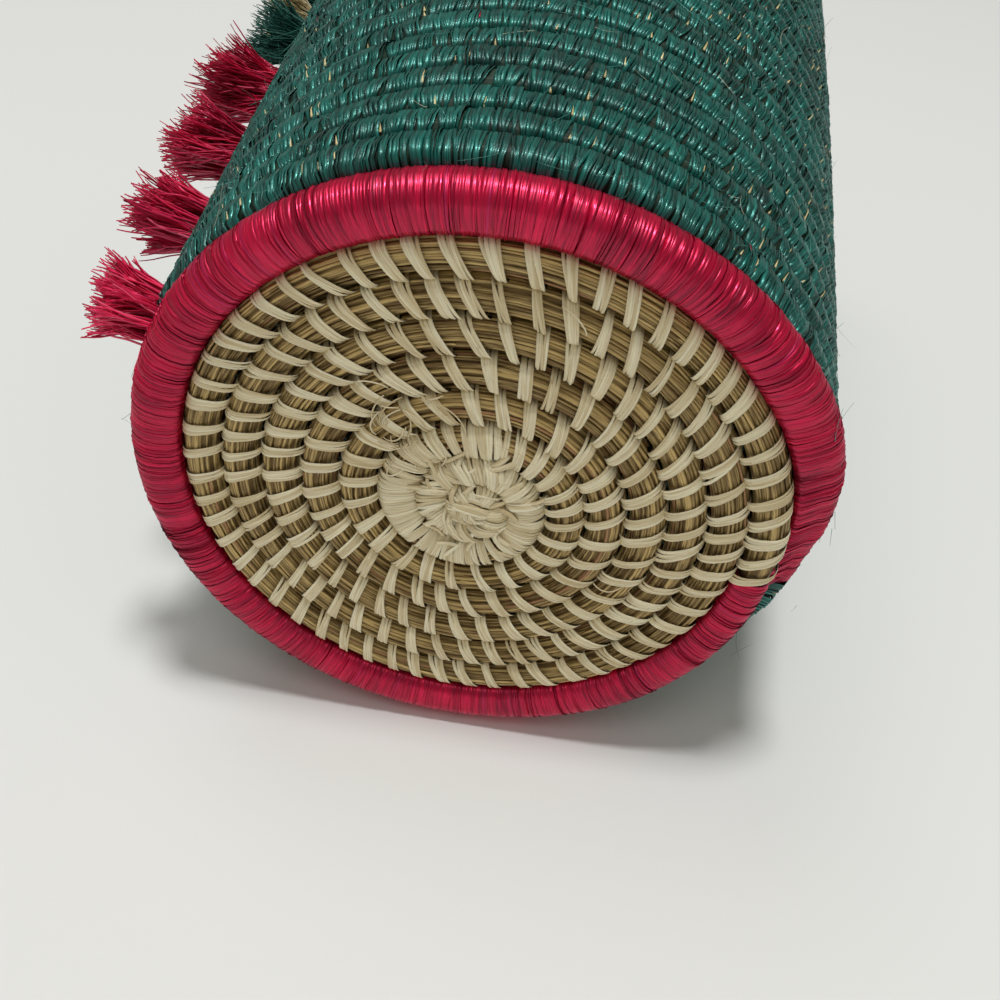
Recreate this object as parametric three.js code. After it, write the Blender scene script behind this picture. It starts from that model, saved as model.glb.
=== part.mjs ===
import * as THREE from 'three';

// Coiled basket vase standing on its foot, in millimetres, +Z up, with its axis through the origin.
// One grass coil spirals out over the base, turns into the foot, and climbs the wall row by row to the rim.

// Gap between turns that lie side by side, and between pieces that meet or seat
const TURN_GAP = 0.45;
const SEAT_GAP = 0.3;

// Facets in one turn, and the facets at the end of a turn over which it climbs to the next row
const FACETS = 16;
const CLIMB_FACETS = 2;

// Seam where each turn ends and the next begins, from +X
const SEAM_ANGLE = THREE.MathUtils.degToRad(9);

// Start knot and bare grass coil of the base
const KNOT_RADIUS = 6.1;
const KNOT_ROUNDING = 1.4;
const BASE_COIL_WIDTH = 6.05;
const BASE_COIL_HEIGHT = 6.5;
const BASE_TURNS = 6;

// Foot: one turn of the coil in its wrapping, swelling from the bare coil's width over its first facets
const FOOT_COIL = 8.3;
const FOOT_WRAP = 1;
const FOOT_SWELL_FACETS = 2;

// Wall: wrapped rows that overhang the foot a little and flare toward the mouth on a slight bow
const WALL_COIL_WIDTH = 6.4;
const WALL_COIL_HEIGHT = 6.05;
const WALL_OVERHANG = 0.5;
const WALL_STRETCHES = 7;
const STRETCH_ROWS = 4;
const WALL_FLARE = 7.4;
const FLARE_BOW = 0.35;

// Rim: the last row, whose end thins to a tip
const RIM_TIP_WIDTH = 3;
const RIM_TIP_HEIGHT = 0.9;

// Tufts: cut strands fanning out of a flat knot, in one column in the middle of a facet
const TUFT_FACET = 8;
const TUFT_ROWS_APART = 4;
const RED_TUFTS = 4;
const TUFT_KNOT_WIDTH = 8;
const TUFT_KNOT_HEIGHT = 8;
const TUFT_KNOT_DEPTH = 2;
const TUFT_STRAND_RINGS = 4;
const TUFT_STRAND_LENGTH = 13;
const TUFT_RAGGEDNESS = 0.35;
const TUFT_FAN_DEPTH = 10;

// Soft bundles above them, two green ones with a short natural one between
const GREEN_TUFTS = 2;
const BUNDLE_SIDES = 12;
const GREEN_ROOT_RADIUS = 3;
const GREEN_TIP_RADIUS = 6.5;
const GREEN_LENGTH = 15;
const NATURAL_ROOT_RADIUS = 2;
const NATURAL_TIP_RADIUS = 3.5;
const NATURAL_LENGTH = 11;

// Values worked out from the sizes above
const fullTurn = 2 * Math.PI;
const basePitch = BASE_COIL_WIDTH + TURN_GAP;
const wallPitch = WALL_COIL_HEIGHT + TURN_GAP;
const rimRow = WALL_STRETCHES * STRETCH_ROWS;
const coilPlane = FOOT_COIL / 2;
const firstRowHeight = FOOT_COIL + TURN_GAP + WALL_COIL_HEIGHT / 2;
const axis = new THREE.Vector2(0, 0);

// A spiral has no true middle, so the base sits off the axis to keep its outermost turn round about it
const baseCentre = new THREE.Vector2(basePitch / Math.PI, 0).rotateAround(axis, SEAM_ANGLE + Math.PI / 2);

const seamAngleAt = (turn) => SEAM_ANGLE + fullTurn * turn;

// Radius of the grass coil's middle line, by turns from the start knot
const baseRadius = (turn) => KNOT_RADIUS + TURN_GAP + BASE_COIL_WIDTH / 2 + basePitch * turn;

// Width of the foot along its turn
function footWidth(turn) {
  const swell = Math.min(1, turn * FACETS / FOOT_SWELL_FACETS);
  return THREE.MathUtils.lerp(BASE_COIL_WIDTH, FOOT_COIL, swell);
}

// The foot lies against the last turn of the base
function footRadius(turn) {
  const seat = baseRadius(BASE_TURNS - 1 + turn) + BASE_COIL_WIDTH / 2 + TURN_GAP;
  return seat + footWidth(turn) / 2;
}

// Radius of the wall coil's middle line, by rows from the foot
function wallRadius(row) {
  const bottom = footRadius(0.5) + FOOT_COIL / 2 + WALL_OVERHANG - WALL_COIL_WIDTH / 2;
  const share = row / rimRow;
  return bottom + WALL_FLARE * share * (1 + FLARE_BOW * (1 - share));
}

// Share of a row's height that a turn has climbed, which is none until its last facets
function climb(turn) {
  const left = (1 - turn % 1) * FACETS;
  return Math.max(0, 1 - left / CLIMB_FACETS);
}

const rowHeight = (turn) => firstRowHeight + wallPitch * (Math.floor(turn) + climb(turn));

// Closed section with the given number of sides, filling a box from -1 to 1
function section(sides, firstAngle) {
  const corners = [];
  for (let side = 0; side < sides; side += 1) {
    const angle = firstAngle + fullTurn * side / sides;
    corners.push(new THREE.Vector2(Math.cos(angle), Math.sin(angle)));
  }
  const width = Math.max(...corners.map((corner) => corner.x));
  const height = Math.max(...corners.map((corner) => corner.y));
  return corners.map((corner) => corner.set(corner.x / width, corner.y / height));
}

const flatSided = section(6, Math.PI / 6);
const flatTopped = section(6, 0);
const eightSided = section(8, Math.PI / 8);

// Section set upright across the coil, at an angle and radius about a centre
function ring(shape, centre, angle, radius, middleHeight, width, height) {
  return shape.map((corner) => {
    const reach = radius + corner.x * width / 2;
    const x = centre.x + reach * Math.cos(angle);
    const y = centre.y + reach * Math.sin(angle);
    return new THREE.Vector3(x, y, middleHeight + corner.y * height / 2);
  });
}

// Turn numbers of the rings along a stretch of coil, drawn in at both ends by the seat gap
function stations(from, to, radiusAt) {
  const first = from + SEAT_GAP / (fullTurn * radiusAt(from));
  const last = to - SEAT_GAP / (fullTurn * radiusAt(to));
  const turns = [first];
  for (let facet = Math.floor(first * FACETS) + 1; facet < last * FACETS; facet += 1) {
    turns.push(facet / FACETS);
  }
  turns.push(last);
  return turns;
}

// Side faces between neighbouring rings, facing away from the section's middle
function skin(rings) {
  const triangles = [];
  rings.slice(1).forEach((next, index) => {
    const here = rings[index];
    here.forEach((corner, side) => {
      const beside = (side + 1) % here.length;
      triangles.push(corner, next[side], here[beside]);
      triangles.push(here[beside], next[side], next[beside]);
    });
  });
  return triangles;
}

// End face of a tube, facing back along it
function cap(corners) {
  const middle = new THREE.Vector3();
  corners.forEach((corner) => middle.addScaledVector(corner, 1 / corners.length));
  return corners.flatMap((corner, side) => [middle, corner, corners[(side + 1) % corners.length]]);
}

// The same triangles facing the other way
function flipped(triangles) {
  const turned = [];
  for (let corner = 0; corner < triangles.length; corner += 3) {
    turned.push(triangles[corner], triangles[corner + 2], triangles[corner + 1]);
  }
  return turned;
}

const solidTube = (rings) => [...skin(rings), ...cap(rings[0]), ...flipped(cap(rings.at(-1)))];

// Tube with a bore that is open at both ends
function sleeve(outer, inner) {
  const start = skin([inner[0], outer[0]]);
  const end = skin([inner.at(-1), outer.at(-1)]);
  return [...skin(outer), ...flipped(skin(inner)), ...start, ...flipped(end)];
}

// Least distance between points on one turn and points on the next
function leastGap(rings) {
  const halfway = (corners) => corners.map((corner, side) => {
    return corner.clone().lerp(corners[(side + 1) % corners.length], 0.5);
  });
  const points = rings.map((corners) => [...corners, ...halfway(corners)]);
  let least = Infinity;
  for (let index = 1; index + FACETS < rings.length - 1; index += 1) {
    for (const point of points[index]) {
      for (const other of points[index + FACETS]) {
        least = Math.min(least, point.distanceTo(other));
      }
    }
  }
  return least;
}

const vase = new THREE.Group();

function addMesh(parent, name, geometry, color, roughness) {
  geometry.computeVertexNormals();
  const material = new THREE.MeshStandardMaterial({ color, roughness, metalness: 0 });
  const mesh = new THREE.Mesh(geometry, material);
  mesh.name = name;
  parent.add(mesh);
  return mesh;
}

function addSolid(parent, name, triangles, color, roughness) {
  return addMesh(parent, name, new THREE.BufferGeometry().setFromPoints(triangles), color, roughness);
}

function addCoil(name, rings, color, roughness) {
  addSolid(vase, name, solidTube(rings), color, roughness);
  if (rings.length > FACETS + 2) {
    console.log(`${name}: least gap between its turns ${leastGap(rings).toFixed(2)} mm`);
  }
}

// Start knot: a button whose edge follows the first turn of the spiral, with its step at the coil's end
function knotOutline(inset, height) {
  const outline = [];
  for (let facet = FACETS; facet >= 0; facet -= 1) {
    const turn = facet / FACETS;
    const reach = KNOT_RADIUS + basePitch * turn - inset;
    const angle = seamAngleAt(turn - BASE_TURNS);
    const x = baseCentre.x + reach * Math.cos(angle);
    const y = baseCentre.y + reach * Math.sin(angle);
    outline.push(new THREE.Vector3(x, y, height));
  }
  return outline;
}

const knotTop = coilPlane + BASE_COIL_HEIGHT / 2;
const knotLevels = [
  knotOutline(KNOT_ROUNDING, 0),
  knotOutline(0, KNOT_ROUNDING),
  knotOutline(0, knotTop - KNOT_ROUNDING),
  knotOutline(KNOT_ROUNDING, knotTop),
];
addSolid(vase, 'start_knot', solidTube(knotLevels), 0xc4b48c, 0.8);

// Base coil: the bare grass bundle in a flat spiral, lifted clear of the ground by the thicker foot
const baseRings = stations(0, BASE_TURNS, baseRadius).map((turn) => {
  const angle = seamAngleAt(turn - BASE_TURNS);
  return ring(flatSided, baseCentre, angle, baseRadius(turn), coilPlane, BASE_COIL_WIDTH, BASE_COIL_HEIGHT);
});
addCoil('base_coil', baseRings, 0x9c8a5c, 0.85);

// Foot: lies flat round the base and, in its last facets, climbs over its own start to the first row
function footRing(turn, inset) {
  const angle = seamAngleAt(turn);
  const width = footWidth(turn) - 2 * inset;
  const low = ring(eightSided, baseCentre, angle, footRadius(turn), coilPlane, width, width);
  const wallWidth = WALL_COIL_WIDTH - 2 * inset;
  const wallHeight = WALL_COIL_HEIGHT - 2 * inset;
  const high = ring(eightSided, axis, angle, wallRadius(0), firstRowHeight, wallWidth, wallHeight);
  return low.map((corner, side) => corner.lerp(high[side], climb(turn)));
}

const footTurns = stations(0, 1, footRadius);
const footOutside = footTurns.map((turn) => footRing(turn, 0));
const footInside = footTurns.map((turn) => footRing(turn, FOOT_WRAP));
const footCore = footTurns.map((turn) => footRing(turn, FOOT_WRAP + SEAT_GAP));
addSolid(vase, 'foot_wrap', sleeve(footOutside, footInside), 0xb81441, 0.6);
addCoil('foot_core', footCore, 0x9c8a5c, 0.85);

// Wall: the wrapped coil in stretches, each of which takes over where the one below it ends
function wallRing(turn) {
  const angle = seamAngleAt(turn);
  return ring(flatTopped, axis, angle, wallRadius(turn), rowHeight(turn), WALL_COIL_WIDTH, WALL_COIL_HEIGHT);
}

for (let stretch = 0; stretch < WALL_STRETCHES; stretch += 1) {
  const firstRow = stretch * STRETCH_ROWS;
  const rings = stations(firstRow, firstRow + STRETCH_ROWS, wallRadius).map(wallRing);
  addCoil(`wall_coil_${stretch + 1}`, rings, 0x195a55, 0.65);
}

// Rim: level on top, and thinned away at its end by the row that climbs beneath it
const rimTop = firstRowHeight + wallPitch * rimRow + WALL_COIL_HEIGHT / 2;
const rimTipClimb = (WALL_COIL_HEIGHT - RIM_TIP_HEIGHT) / wallPitch;
const rimEnd = rimRow + 1 - (1 - rimTipClimb) * CLIMB_FACETS / FACETS;

function rimRing(turn) {
  const height = WALL_COIL_HEIGHT - wallPitch * climb(turn);
  const width = THREE.MathUtils.lerp(WALL_COIL_WIDTH, RIM_TIP_WIDTH, climb(turn) / rimTipClimb);
  const middle = rimTop - height / 2;
  return ring(flatTopped, axis, seamAngleAt(turn), wallRadius(turn), middle, width, height);
}

addCoil('rim_coil', stations(rimRow, rimEnd, wallRadius).map(rimRing), 0x195a55, 0.65);

// Tuft column: x points out of the wall, with its zero on the axis
const tuftColumn = new THREE.Group();
tuftColumn.rotation.z = seamAngleAt((TUFT_FACET + 0.5) / FACETS);
vase.add(tuftColumn);

// A tuft seats on the middle of a wall facet
function seatTuft(tuft, row) {
  const turn = row + (TUFT_FACET + 0.5) / FACETS;
  const facetReach = (wallRadius(turn) + WALL_COIL_WIDTH / 2) * Math.cos(Math.PI / FACETS);
  tuft.position.set(facetReach + SEAT_GAP, 0, rowHeight(turn));
}

// Repeatable spread of numbers from 0 to 1
function scatter(index) {
  const wave = Math.sin(index * 12.9898) * 43758.5453;
  return wave - Math.floor(wave);
}

// Front of a tuft's knot: a six-sided patch of triangles, each the root of one strand
function tuftRoots() {
  const rings = TUFT_STRAND_RINGS;
  const place = (across, up) => {
    const y = TUFT_KNOT_WIDTH / 2 * (across + up / 2) / rings;
    const z = TUFT_KNOT_HEIGHT / 2 * up / rings;
    return new THREE.Vector3(TUFT_KNOT_DEPTH, y, z);
  };
  const inside = ([across, up]) => Math.max(Math.abs(across), Math.abs(up), Math.abs(across + up)) <= rings;
  const roots = [];
  for (let up = -rings; up <= rings; up += 1) {
    for (let across = -rings; across <= rings; across += 1) {
      const upright = [[across, up], [across + 1, up], [across, up + 1]];
      const inverted = [[across + 1, up], [across + 1, up + 1], [across, up + 1]];
      const whole = [upright, inverted].filter((root) => root.every(inside));
      roots.push(...whole.map((root) => root.map(([a, u]) => place(a, u))));
    }
  }
  const edge = [];
  for (let step = 0; step < rings; step += 1) {
    edge.push([rings - step, step], [-step, rings], [-rings, rings - step]);
    edge.push([step - rings, -step], [step, -rings], [rings, step - rings]);
  }
  const border = edge.map(([a, u]) => place(a, u));
  border.sort((one, other) => Math.atan2(one.z, one.y) - Math.atan2(other.z, other.y));
  return { roots, border };
}

// Strands taper from their roots along rays from one point behind the knot, so none of them cross
function strandTuft(seed) {
  const { roots, border } = tuftRoots();
  const fanCentre = new THREE.Vector3(TUFT_KNOT_DEPTH - TUFT_FAN_DEPTH, 0, 0);
  const strands = roots.flatMap(([first, second, third], index) => {
    const middle = first.clone().add(second).add(third).divideScalar(3);
    const ray = middle.clone().sub(fanCentre).normalize();
    const length = TUFT_STRAND_LENGTH * (1 - TUFT_RAGGEDNESS * scatter(seed + index));
    const tip = middle.addScaledVector(ray, length);
    return [first, second, tip, second, third, tip, third, first, tip];
  });
  const back = border.map((corner) => new THREE.Vector3(0, corner.y, corner.z));
  return [...strands, ...flipped(skin([back, border])), ...flipped(cap(back))];
}

for (let tuft = 0; tuft < RED_TUFTS; tuft += 1) {
  const strandCount = 6 * TUFT_STRAND_RINGS ** 2;
  const strands = strandTuft(1 + tuft * strandCount);
  seatTuft(addSolid(tuftColumn, `red_tuft_${tuft + 1}`, strands, 0x960a24, 0.7), tuft * TUFT_ROWS_APART);
}

// Soft bundle: a flared solid whose root faces the wall
function bundle(rootRadius, tipRadius, length) {
  const shape = new THREE.CylinderGeometry(tipRadius, rootRadius, length, BUNDLE_SIDES);
  return shape.rotateZ(-Math.PI / 2).translate(length / 2, 0, 0);
}

const firstGreenRow = RED_TUFTS * TUFT_ROWS_APART;
for (let tuft = 0; tuft < GREEN_TUFTS; tuft += 1) {
  const shape = bundle(GREEN_ROOT_RADIUS, GREEN_TIP_RADIUS, GREEN_LENGTH);
  const row = firstGreenRow + tuft * TUFT_ROWS_APART;
  seatTuft(addMesh(tuftColumn, `green_tuft_${tuft + 1}`, shape, 0x1d4a40, 0.7), row);
}

const naturalShape = bundle(NATURAL_ROOT_RADIUS, NATURAL_TIP_RADIUS, NATURAL_LENGTH);
const naturalRow = firstGreenRow + TUFT_ROWS_APART / 2;
seatTuft(addMesh(tuftColumn, 'natural_tuft', naturalShape, 0xc9b98f, 0.8), naturalRow);

export default vase;
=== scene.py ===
import bpy
import numpy as np
from mathutils import Matrix, Vector


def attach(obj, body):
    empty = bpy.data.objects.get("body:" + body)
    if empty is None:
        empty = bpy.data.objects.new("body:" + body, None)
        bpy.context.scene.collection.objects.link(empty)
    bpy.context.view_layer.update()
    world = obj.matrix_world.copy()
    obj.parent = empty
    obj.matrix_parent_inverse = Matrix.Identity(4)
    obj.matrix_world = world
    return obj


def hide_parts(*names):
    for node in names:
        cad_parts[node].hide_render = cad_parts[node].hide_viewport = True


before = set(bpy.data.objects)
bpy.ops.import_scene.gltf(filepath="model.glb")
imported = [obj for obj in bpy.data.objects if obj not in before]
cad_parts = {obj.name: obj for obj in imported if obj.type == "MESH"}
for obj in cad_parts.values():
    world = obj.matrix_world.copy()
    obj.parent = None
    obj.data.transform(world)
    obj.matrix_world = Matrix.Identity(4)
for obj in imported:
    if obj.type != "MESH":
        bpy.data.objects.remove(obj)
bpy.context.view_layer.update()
scene = bpy.context.scene

# Camera: looks down at the underside of the vase, which lies on its side with the foot toward the lens.
# Places and directions are in the vase's own frame, where +Z runs from the foot to the mouth.
CAMERA_PLACE = Vector((0.01376, -0.13347, -0.14142))
CAMERA_LOOK = Vector((-0.04807, 0.67984, 0.73179))
CAMERA_UP = Vector((-0.15175, -0.7291, 0.66737))
LENS_LENGTH = 43.6
SENSOR_WIDTH = 36
NEAREST_SIGHT = 0.01

camera_right = CAMERA_LOOK.cross(CAMERA_UP).normalized()
camera_up = camera_right.cross(CAMERA_LOOK).normalized()
camera_turn = Matrix((camera_right, camera_up, -CAMERA_LOOK.normalized())).transposed()
camera = bpy.data.objects.new("camera", bpy.data.cameras.new("camera"))
camera.matrix_world = Matrix.Translation(CAMERA_PLACE) @ camera_turn.to_4x4()
camera.data.lens = LENS_LENGTH
camera.data.sensor_width = SENSOR_WIDTH
camera.data.clip_start = NEAREST_SIGHT
scene.collection.objects.link(camera)
scene.camera = camera

# Table: a plain pale matt top, which the vase lies against along one line from its foot to its rim.
# Seen from behind it lets sight and light through, so that the side of the vase on it can be looked at.
TABLE_REACH = 1.5
TABLE_AT_FOOT = 0.0581
TABLE_SLOPE = 0.0407
TABLE_COLOUR = (0.73, 0.74, 0.725, 1)
TABLE_ROUGHNESS = 0.8
TABLE_SHINE = 0.15


def add_node(tree, kind, **settings):
    node = tree.nodes.new(kind)
    for name, value in settings.items():
        setattr(node, name, value)
    return node


def new_material(name):
    material = bpy.data.materials.new(name)
    material.use_nodes = True
    return material, material.node_tree, material.node_tree.nodes["Principled BSDF"]


def table_corner(x, z):
    return (x, TABLE_AT_FOOT + TABLE_SLOPE * z, z)


table_mesh = bpy.data.meshes.new("table")
table_sides = TABLE_REACH * np.array([(-1, -1), (1, -1), (1, 1), (-1, 1)])
table_mesh.from_pydata([table_corner(x, z) for x, z in table_sides], [], [(0, 1, 2, 3)])
table = bpy.data.objects.new("table", table_mesh)
scene.collection.objects.link(table)

table_material, tree, surface = new_material("pale table")
surface.inputs["Base Color"].default_value = TABLE_COLOUR
surface.inputs["Roughness"].default_value = TABLE_ROUGHNESS
surface.inputs["Specular IOR Level"].default_value = TABLE_SHINE
side_seen = add_node(tree, "ShaderNodeNewGeometry")
light_path = add_node(tree, "ShaderNodeLightPath")
either = add_node(tree, "ShaderNodeMath", operation="MAXIMUM")
clear = add_node(tree, "ShaderNodeBsdfTransparent")
mix = add_node(tree, "ShaderNodeMixShader")
link = tree.links.new
link(side_seen.outputs["Backfacing"], either.inputs[0])
link(light_path.outputs["Is Shadow Ray"], either.inputs[1])
link(either.outputs[0], mix.inputs[0])
link(surface.outputs[0], mix.inputs[1])
link(clear.outputs[0], mix.inputs[2])
link(mix.outputs[0], tree.nodes["Material Output"].inputs["Surface"])
table_mesh.materials.append(table_material)

# Light: a small lamp right above the vase in a pale warm room, and a wider one above it toward the viewer.
# A broad weak light beyond them softens the shadows, and another reaches the side that the vase lies on.
ROOM_COLOUR = (1.0, 0.96, 0.86, 1)
ROOM_STRENGTH = 0.27


def soft_lamp(name, place, size, watts):
    lamp = bpy.data.objects.new(name, bpy.data.lights.new(name, "AREA"))
    lamp.data.shape = "DISK"
    lamp.data.size = size
    lamp.data.energy = watts
    lamp.visible_camera = False
    turn = Vector(place).to_track_quat("Z", "Y").to_matrix().to_4x4()
    lamp.matrix_world = Matrix.Translation(place) @ turn
    scene.collection.objects.link(lamp)


soft_lamp("overhead lamp", place=(0, -1.8, -0.03), size=0.3, watts=20.8)
soft_lamp("ceiling", place=(-0.8, -2.8, 0.9), size=1.6, watts=12)
soft_lamp("front light", place=(0, -2.1, -0.95), size=0.9, watts=5.5)
soft_lamp("fill lamp", place=(0.1, 0.9, 0.3), size=0.8, watts=4)
scene.world = bpy.data.worlds.new("pale room")
scene.world.use_nodes = True
room = scene.world.node_tree.nodes["Background"]
room.inputs["Color"].default_value = ROOM_COLOUR
room.inputs["Strength"].default_value = ROOM_STRENGTH
scene.view_settings.view_transform = "Standard"

# Base coil: a bundle of dry grass stalks in a flat spiral, which starts at the knot and ends at the foot.
# The stalks lie side by side round the bundle, and each runs out under the ones that take over from it.
# Sizes from here on are in millimetres.
MM = 0.001
TAU = 2 * np.pi
UP = np.array([0.0, 0.0, 1.0])
SEAM_ANGLE = np.radians(9)
TURN_GAP = 0.45
KNOT_RADIUS = 6.1
KNOT_TURNS = 2
KNOT_HALF_HEIGHT = 2.2
KNOT_PLANE = 3
KNOT_DRAW = 6.01
KNOT_DRAW_EASE = 0.84
KNOT_THINNING = 1.24
KNOT_THINNING_EASE = 0.21
BASE_WIDTH = 6.05
BASE_HEIGHT = 6.5
BASE_TURNS = 6
COIL_PLANE = 4.15
STALK_LANES = 50
STALK_STEPS = 26
STALK_LENGTHS = (35, 95)
STALK_OVERLAP = 8
STALK_WIDTHS = (0.5, 0.8)
STALK_THINNESS = 0.85
STALK_TIP = 0.7
STALK_SCATTER = 0.3
STALK_SWAY = 0.16
STALK_SWAY_LENGTH = 23
STALK_LIFTS = (-0.25, 0.1)
STALK_TUCK = 0.5
STALK_BOW = 0.12
STALK_BOW_LENGTH = 9
HEART_START = -1.6
HEART_STEPS = 400

base_pitch = BASE_WIDTH + TURN_GAP
base_radius = KNOT_RADIUS + TURN_GAP + BASE_WIDTH / 2
base_shift = base_pitch / np.pi
base_centre = base_shift * np.array([np.cos(SEAM_ANGLE + TAU / 4), np.sin(SEAM_ANGLE + TAU / 4), 0])


def unit(vectors):
    return vectors / np.linalg.norm(vectors, axis=-1, keepdims=True)


def mixed(low, high, share):
    return low + (high - low) * share


def outward_at(angle):
    return np.stack([np.cos(angle), np.sin(angle), np.zeros_like(angle)], axis=-1)


# Middle, outward direction and half sizes of the grass coil, which narrows into the knot before turn 0
def base_spine(turn):
    outward = outward_at(SEAM_ANGLE + TAU * (turn - BASE_TURNS))
    inner = np.clip(turn, -KNOT_TURNS, 0)
    height = mixed(COIL_PLANE, KNOT_PLANE, -inner / KNOT_TURNS)
    radius = base_radius + base_pitch * np.clip(turn, 0, None)
    radius = radius + inner * (KNOT_DRAW + KNOT_DRAW_EASE * inner)
    middle = base_centre + outward * radius[..., None] + UP * height[..., None]
    half_width = BASE_WIDTH / 2 + inner * (KNOT_THINNING + KNOT_THINNING_EASE * inner)
    half_height = mixed(BASE_HEIGHT / 2, KNOT_HALF_HEIGHT, -inner / KNOT_TURNS)
    return middle, outward, half_width, half_height


# Turn of the spiral at a length along it, and the length at a turn
def base_turn_after(length):
    return (np.sqrt(base_radius ** 2 + base_pitch * length / np.pi) - base_radius) / base_pitch


def base_length_to(turn):
    return TAU * turn * (base_radius + base_pitch * turn / 2)


def round_profile(angle):
    return np.cos(angle), np.sin(angle)


# Point on a coil at an angle round its section, raised off it, and the direction that it faces
def on_coil(spine, turn, angle, lift, profile=round_profile):
    middle, outward, half_width, half_height = spine(turn)
    sideways, upward = profile(angle)
    place = middle + outward * ((half_width + lift) * sideways)[..., None]
    place = place + UP * ((half_height + lift) * upward)[..., None]
    return place, outward * np.cos(angle)[..., None] + UP * np.sin(angle)[..., None]


# Sections of a strand, as shares of its half width and half thickness: round, flat, and fine for thin ones
def round_section(sides):
    angle = TAU / 4 + TAU * np.arange(sides) / sides
    return np.stack([np.cos(angle), np.sin(angle)], axis=-1)


FLAT_SECTION = np.array([(1, -0.6), (0.8, 0.8), (-0.8, 0.8), (-1, -0.6)])
FINE_SECTION = np.array([(1, -0.5), (0, 1), (-1, -0.5)])


# Mesh of many strands: a row of points for each one, and the direction that its flat side faces there.
# A strand with a rounding is shaded as a ribbon whose surface turns that far toward its edges.
def strand_piece(name, material, path, facing, width, thickness, section, looped, tone, rounding=None):
    count, steps = path.shape[:2]
    sides = len(section)
    if looped:
        ahead = unit(np.roll(path, -1, axis=1) - np.roll(path, 1, axis=1))
    else:
        ahead = unit(np.gradient(path, axis=1))
    across = unit(np.cross(facing, ahead))
    out = np.cross(ahead, across)
    half_width = np.broadcast_to(width, (count, steps))[..., None, None] / 2
    half_thickness = np.broadcast_to(thickness, (count, steps))[..., None, None] / 2
    corners = path[:, :, None] + across[:, :, None] * section[:, :1] * half_width
    corners = corners + out[:, :, None] * section[:, 1:] * half_thickness
    number = np.arange(count * steps * sides).reshape(count, steps, sides)
    beside = np.roll(number, -1, axis=2)
    if looped:
        sheets = [number, beside, np.roll(beside, -1, axis=1), np.roll(number, -1, axis=1)]
        caps = np.empty((0, sides), int)
    else:
        sheets = [number[:, :-1], beside[:, :-1], beside[:, 1:], number[:, 1:]]
        caps = np.concatenate([number[:, 0, ::-1], number[:, -1]])
    quads = np.stack(sheets, axis=-1).reshape(-1, 4)
    starts = np.concatenate([np.arange(len(quads)) * 4, quads.size + np.arange(len(caps)) * sides])
    mesh = bpy.data.meshes.new(name)
    mesh.vertices.add(number.size)
    mesh.vertices.foreach_set("co", (corners * MM).ravel())
    mesh.loops.add(quads.size + caps.size)
    mesh.loops.foreach_set("vertex_index", np.concatenate([quads.ravel(), caps.ravel()]))
    mesh.polygons.add(len(starts))
    mesh.polygons.foreach_set("loop_start", starts)
    mesh.polygons.foreach_set("use_smooth", np.ones(len(starts), bool))
    length = np.linalg.norm(np.diff(path, axis=1, prepend=path[:, :1]), axis=-1).cumsum(axis=1)
    marks = {
        "tone": np.broadcast_to(tone[:, None, None], number.shape),
        "across": np.broadcast_to(section[:, 0], number.shape),
        "along": np.broadcast_to(length[..., None], number.shape),
    }
    for mark, values in marks.items():
        mesh.attributes.new(mark, "FLOAT", "POINT").data.foreach_set("value", values.ravel().astype("f"))
    mesh.update(calc_edges=True)
    mesh.materials.append(material)
    if rounding is not None:
        normals = unit(out[:, :, None] + across[:, :, None] * section[:, :1] * rounding)
        mesh.normals_split_custom_set_from_vertices(normals.reshape(-1, 3))
    piece = bpy.data.objects.new(name, mesh)
    scene.collection.objects.link(piece)
    return piece


# Solid middle of a bundle, under its stalks or windings, or one plain strand
def bundle_core(name, material, spine, turns, section, depth):
    path, outward, half_width, half_height = spine(turns)
    width = 2 * (half_width - depth)
    height = 2 * (half_height - depth)
    return strand_piece(name, material, path[None], outward, height, width, section, False, np.zeros(1))


def colour(shade):
    shares = np.array(shade) / 255
    linear = np.where(shares < 0.04045, shares / 12.92, ((shares + 0.055) / 1.055) ** 2.4)
    return (*linear.tolist(), 1)


# Shading shared by all the plant fibres: streaks that run along a strand, strands that differ in tone,
# a few odd ones of another colour, painted shade at strand edges, and patches that drift over the whole piece
STREAK_SCALE = 1.0
STREAK_PACE = 0.16
STREAK_SPREAD = 571.0
STREAK_DETAIL = 3.0
STREAK_FINENESS = 0.62
STREAK_WEIGHT = 2.6
STREAK_ROUGHENING = 0.5
PATCH_SCALE = 75.0
PATCH_DETAIL = 2.0
PATCH_FINENESS = 0.5
PATCH_WEIGHT = 1.1
TONE_SHUFFLE = 23.7
ODD_COVER = 0.85
EDGE_SHADE_SHARPNESS = 2.5
DULL_ROUGHNESS = 0.62


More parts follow.
